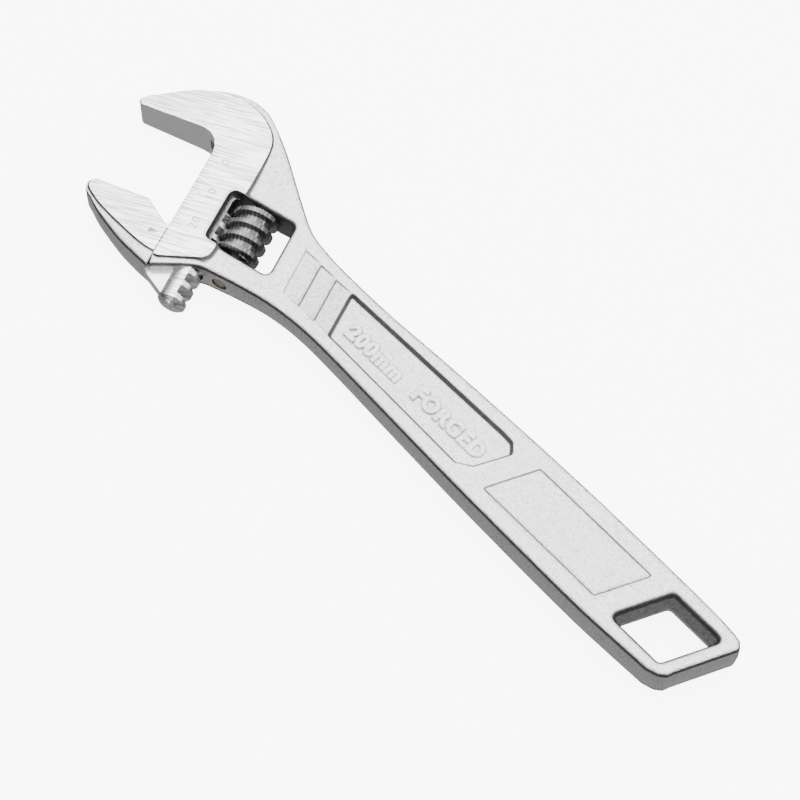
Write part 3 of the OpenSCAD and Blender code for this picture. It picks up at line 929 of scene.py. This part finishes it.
def worm_tree():
    """The worm: a right-hand thread with knurled crests, bored for the pin and pocketed for the spring."""
    tree, size = form_tree("knurled worm", WORM_SIZES)
    grid = unit_grid(tree, size["Around"] + 1, size["Rows"])
    x, y = grid_sides(tree)
    along, start, end = along_rows(size, y)
    off = (along - size["First crest"] - x * size["Pitch"]).near(size["Pitch"]).math("ABSOLUTE")
    root = off.ease(size["Crest half width"], size["Crest half width"] + size["Flank"])
    crest = root.ease(0.0, 0.22) * -1 + 1
    notch = (x * size["Knurl teeth"]).near(1.0).math("ABSOLUTE") * 2 * crest
    thread = size["Radius"] - root * size["Thread depth"] - notch * size["Knurl depth"]
    from_end = along.math("MINIMUM", size["Length"] - along)
    envelope = size["Radius"] - (size["Chamfer"] - from_end).math("MAXIMUM", 0.0)
    outer = thread.math("MINIMUM", envelope)
    radius = outer * (start * -1 - end + 1) + start * size["Pocket"] + end * size["Bore"]
    turn = x * (2 * math.pi)
    outside = turned(tree, grid, turn, radius, along)
    # the crest attribute holds painted light on the crests and painted shade in the knurl notches
    marked = add(tree, "GeometryNodeStoreNamedAttribute", {
        "Geometry": outside.outputs[0], "Name": "crest", "Value": crest * (notch * -0.8 + 1)})
    inner_grid = unit_grid(tree, size["Around"] + 1, 4)
    step = y * 3
    deep = step.math("GREATER_THAN", 0.5)
    far = step.math("GREATER_THAN", 2.5)
    narrow = step.math("GREATER_THAN", 1.5)
    depth = deep * size["Pocket depth"] + far * (size["Length"] - size["Pocket depth"])
    inner_radius = size["Pocket"] + narrow * (size["Bore"] - size["Pocket"])
    inside = turned(tree, inner_grid, turn, inner_radius, depth)
    flipped = add(tree, "GeometryNodeFlipFaces", {"Mesh": inside.outputs[0]})
    both = tree.nodes.new("GeometryNodeJoinGeometry")
    for part in (marked, flipped):
        tree.links.new(part.outputs[0], both.inputs[0])
    whole = add(tree, "GeometryNodeMergeByDistance", {"Geometry": both.outputs[0], "Distance": 1e-4})
    close_tree(tree, whole.outputs[0], WORM_METAL)
    return tree


COIL_R, SPRING_HEIGHT = PIN_R + 0.3 + WIRE_R, 4.2
SPRING_SIZES = {"Turns": float(COILS), "Coil radius": COIL_R, "Height": SPRING_HEIGHT, "Wire radius": WIRE_R,
                "Points per turn": 32}


def spring_tree():
    """An open coil spring."""
    tree, size = form_tree("coil spring", SPRING_SIZES)
    coil = add(tree, "GeometryNodeCurveSpiral", {
        "Resolution": size["Points per turn"], "Rotations": size["Turns"],
        "Start Radius": size["Coil radius"], "End Radius": size["Coil radius"], "Height": size["Height"]})
    wire = add(tree, "GeometryNodeCurvePrimitiveCircle", {"Resolution": 12, "Radius": size["Wire radius"]})
    solid = add(tree, "GeometryNodeCurveToMesh", {
        "Curve": coil.outputs[0], "Profile Curve": wire.outputs[0], "Fill Caps": True})
    close_tree(tree, solid.outputs[0], SPRING_METAL)
    return tree


def build_worm():
    worm = new_piece("worm_screw", grown(worm_tree(), WORM_SIZES, slide_place(WORM_U, WORM_TOP)))
    shade(worm, 40)
    belongs(worm, "worm", "worm", "worm")
    coil = grown(spring_tree(), SPRING_SIZES, slide_place(WORM_U, SPRING_TOP + WIRE_R))
    spring = new_piece("spring_coil", coil)
    shade(spring, 60)
    belongs(spring, "body", "worm_spring", "worm_spring")
    bar = rod("pin", WORM_U, [(PIN_R - PIN_CHAMFER, PIN_TOP), (PIN_R, PIN_TOP + PIN_CHAMFER),
                              (PIN_R, PIN_BOTTOM - PIN_CHAMFER), (PIN_R - PIN_CHAMFER, PIN_BOTTOM)], 64)
    pin = new_piece("pin", bar, PIN_METAL)
    shade(pin, 20)
    belongs(pin, "body", "worm_pin", "worm_pin")


# ---- scale, numbers, pointer and lettering ------------------------------------------------------
SCALE_NUMBERS = (("0", 4.7, -6.2), ("10", 5.4, 3.8), ("20", 5.5, 13.1))
RAISED_WORDS = (("size_mark", "200mm", 67.3, -0.83), ("forged_mark", "FORGED", 93.4, -0.6))
POINTER = [(-1.52, 19.53), (-4.13, 20.46), (-4.06, 18.97)]
PAINT_HALF = 0.03                               # half thickness of the pointer's enamel
TICK_SIZES = {"Pitch": 1.0, "Short": 1.6, "Long": 2.6, "Width": 0.12, "Thickness": 0.06, "Ticks": 26}


def scale_tree():
    """Ticks in a row, every fifth one longer."""
    tree, size = form_tree("jaw scale", TICK_SIZES)
    row = add(tree, "GeometryNodeMeshLine", {
        "Count": size["Ticks"], "Offset": add(tree, "ShaderNodeCombineXYZ", {"X": size["Pitch"]}).outputs[0]})
    index = Value(tree, add(tree, "GeometryNodeInputIndex").outputs[0])
    fifth = index.near(5.0).math("ABSOLUTE").math("LESS_THAN", 0.5)
    length = size["Short"] + fifth * (size["Long"] - size["Short"])
    mark = add(tree, "GeometryNodeMeshCube", {"Size": (1, 1, 1)})
    middle = add(tree, "ShaderNodeCombineXYZ", {"Y": -0.5})
    hung = add(tree, "GeometryNodeTransform", {"Geometry": mark.outputs[0], "Translation": middle.outputs[0]})
    grown_size = add(tree, "ShaderNodeCombineXYZ", {"X": size["Width"], "Y": length, "Z": size["Thickness"]})
    ticks = add(tree, "GeometryNodeInstanceOnPoints", {
        "Points": row.outputs[0], "Instance": hung.outputs[0], "Scale": grown_size.outputs[0]})
    close_tree(tree, ticks.outputs[0], ETCHED)
    return tree


def lettering(name, words, size, thickness, place, material, fatten=0.0, spread=1.0, bevel=0.0):
    """Words as a closed mesh, centred, drawn flat and then put in place."""
    text = bpy.data.curves.new(name, "FONT")
    text.body, text.size, text.extrude = words, size, thickness / 2
    text.offset, text.space_character, text.bevel_depth = fatten, spread, bevel
    text.bevel_resolution = 2 if bevel else 0
    text.align_x, text.align_y = "CENTER", "CENTER"
    text.resolution_u = 6
    holder = new_piece(name + "_words", text)
    mesh = frozen(holder)
    bpy.data.objects.remove(holder)
    height = np.array([vertex.co.z for vertex in mesh.vertices])
    # painted shade, darker towards the foot of the letters
    low = 1 - smooth((height - height.min()) / (height.max() - height.min()))
    mesh.attributes.new("painted_shade", "FLOAT", "POINT").data.foreach_set("value", low)
    mesh.transform(place)
    piece = new_piece(name, mesh, material)
    shade(piece, 50)
    return piece


def build_markings():
    ticks = new_piece("scale_ticks", grown(scale_tree(), TICK_SIZES, face_place(0.25, 15.0)))
    belongs(ticks, "body", "handle_body")
    for number, u, v in SCALE_NUMBERS:
        place = face_place(u, v)
        mark = lettering("number_" + number, number, 3.0, 0.06, place, ETCHED, -0.02, 1.25)
        belongs(mark, "body", "handle_body")
    pointer = slab(POINTER, HEAD_HALF - PAINT_HALF, HEAD_HALF + PAINT_HALF)
    pointer = new_piece("pointer", pointer, POINTER_PAINT)
    belongs(pointer, "jaw", "movable_jaw")
    for name, words, along, across in RAISED_WORDS:
        floor = np.interp(along, *FORGED_SIDE.T) - RECESS_DEPTH
        at = THROAT + Vector((along, across, 0))
        at.z = HEAD_HALF + floor + 0.1
        place = Matrix.Translation(at * MM) @ Matrix.Scale(MM, 4)
        mark = lettering(name, words, 5.6, 0.5, place, FORGED, 0.2, 1.12, 0.3)
        belongs(mark, "body", "handle_body")


# ---- floor, light and camera --------------------------------------------------------------------
def build_stage():
    floor = bpy.data.meshes.new("floor")
    reach = 4.0
    floor.from_pydata([(-reach, -reach, 0), (reach, -reach, 0), (reach, reach, 0), (-reach, reach, 0)], [],
                      [(0, 1, 2, 3)])
    material, _, shader, _ = finish_base("pale floor", Roughness=0.9, Emission_Strength=7.0)
    shader.inputs["Base Color"].default_value = (0.92, 0.92, 0.92, 1)
    shader.inputs["Emission Color"].default_value = (1, 1, 1, 1)
    shader.inputs["Specular IOR Level"].default_value = 0.0
    floor = new_piece("floor", floor, material)
    floor.visible_glossy = False


def softbox(name, place, aim, size, power):
    lamp = bpy.data.lights.new(name, "AREA")
    lamp.shape, lamp.size, lamp.size_y = "RECTANGLE", size[0], size[1]
    lamp.energy = power
    holder = bpy.data.objects.new(name, lamp)
    holder.location = place
    holder.rotation_euler = (Vector(aim) - Vector(place)).to_track_quat("-Z", "Y").to_euler()
    bpy.context.scene.collection.objects.link(holder)


def build_light():
    world = bpy.data.worlds.new("studio")
    bpy.context.scene.world = world
    world.use_nodes = True
    tree = world.node_tree
    way = add(tree, "ShaderNodeSeparateXYZ", {"Vector": add(tree, "ShaderNodeTexCoord").outputs["Generated"]})
    height = Value(tree, way.outputs["Z"])
    overhead, underfoot = height.ease(0.15, 0.75), (height * -1).ease(0.1, 0.8)
    tree.nodes["Background"].inputs["Color"].default_value = (1, 1, 1, 1)
    feed(tree, tree.nodes["Background"].inputs["Strength"], overhead * 1.7 + underfoot * 0.34 + 0.07)
    middle = (0.09, 0, 0)
    softbox("overhead", (-0.25, 0.30, 1.1), middle, (0.9, 0.9), 14)
    softbox("side", (0.9, 0.6, 0.7), middle, (0.5, 0.8), 5)


def build_camera():
    camera = bpy.data.objects.new("camera", bpy.data.cameras.new("camera"))
    camera.location = (0.2745, -0.20278651, 0.54896580)
    camera.rotation_euler = [math.radians(a) for a in (27.429319, -1.147099, 47.332)]
    camera.data.lens, camera.data.sensor_width = 112.442, 36
    camera.data.clip_start, camera.data.clip_end = 0.01, 20
    bpy.context.scene.collection.objects.link(camera)
    bpy.context.scene.camera = camera


build_camera()
build_stage()
build_light()
build_handle()
build_jaw()
build_worm()
build_markings()
